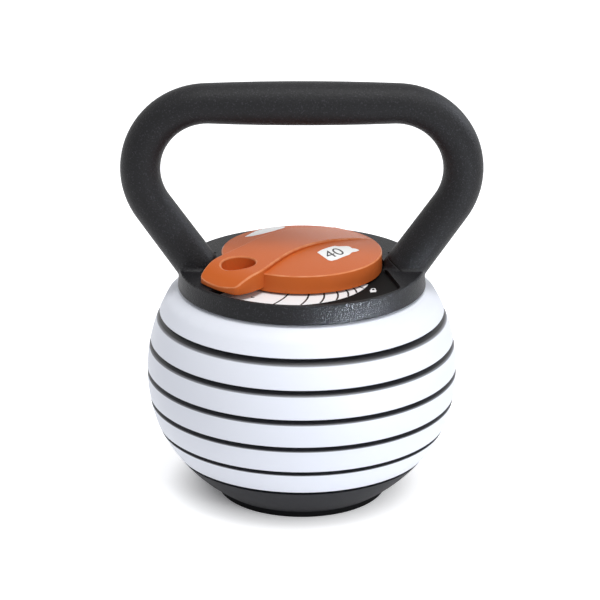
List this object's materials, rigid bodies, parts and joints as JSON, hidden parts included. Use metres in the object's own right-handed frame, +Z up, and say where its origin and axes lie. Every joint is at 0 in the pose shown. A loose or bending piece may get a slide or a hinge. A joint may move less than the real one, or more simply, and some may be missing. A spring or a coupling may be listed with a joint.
{
  "type": "adjustable kettlebell",
  "caption": "Adjustable kettlebell: round stack of iron plates on a base, dial-operated selector rod and cams, and a black bow handle over the dial.",
  "frame": {"origin": "on the floor, under the middle of the foot", "axes": "+Z up, X along the grip of the handle, -Y towards the lever arm's side of the dial (the front)"},
  "size_m": [0.2348, 0.2042, 0.2788],
  "materials": {
    "plate_paint": "painted white, satin",
    "powder_coat": "black powder coat, finely textured",
    "dial_plastic": "moulded, satin",
    "base_plastic": "moulded, satin",
    "foot_rubber": "matt",
    "steel": "zinc plated",
    "bronze": "sintered, plain"
  },
  "bodies": {
    "base": {"base_tray": "base_plastic", "base_foot": "foot_rubber"},
    "plate_1": {"plate_1": "plate_paint"},
    "plate_2": {"plate_2": "plate_paint"},
    "plate_3": {"plate_3": "plate_paint"},
    "plate_4": {"plate_4": "plate_paint"},
    "plate_5": {"plate_5": "plate_paint"},
    "plate_6": {"plate_6": "plate_paint"},
    "handle": {"handle_casting": "powder_coat", "hub_bush": "bronze", "thrust_washer": "bronze", "detent_balls": "steel", "detent_springs": "steel"},
    "selector": {"selector_rod": "steel", "selector_cam_1": "steel", "selector_cam_2": "steel", "selector_cam_3": "steel", "selector_cam_4": "steel", "selector_cam_5": "steel", "selector_cam_6": "steel", "cam_spacers": "steel", "end_washer": "steel", "end_nut": "steel", "dial_knob": "dial_plastic", "dial_screws": "steel"}
  },
  "joints": [
    {"name": "plate_6_lift", "type": "slide", "parent": "base", "child": "plate_6", "axis": [0, 0, 1], "range_m": [0, 0.016]},
    {"name": "plate_5_lift", "type": "slide", "parent": "plate_6", "child": "plate_5", "axis": [0, 0, 1], "range_m": [0, 0.034]},
    {"name": "plate_4_lift", "type": "slide", "parent": "plate_5", "child": "plate_4", "axis": [0, 0, 1], "range_m": [0, 0.053]},
    {"name": "plate_3_lift", "type": "slide", "parent": "plate_4", "child": "plate_3", "axis": [0, 0, 1], "range_m": [0, 0.072]},
    {"name": "plate_2_lift", "type": "slide", "parent": "plate_3", "child": "plate_2", "axis": [0, 0, 1], "range_m": [0, 0.091]},
    {"name": "plate_1_lift", "type": "slide", "parent": "plate_2", "child": "plate_1", "axis": [0, 0, 1], "range_m": [0, 0.11]},
    {"name": "handle_lift", "type": "slide", "parent": "plate_1", "child": "handle", "axis": [0, 0, 1], "range_m": [0, 0.13]},
    {"name": "dial_turn", "type": "hinge", "parent": "handle", "child": "selector", "pos_m": [0, 0, 0.157], "axis": [0, 0, 1], "range_deg": [0, 93.6]}
  ]
}
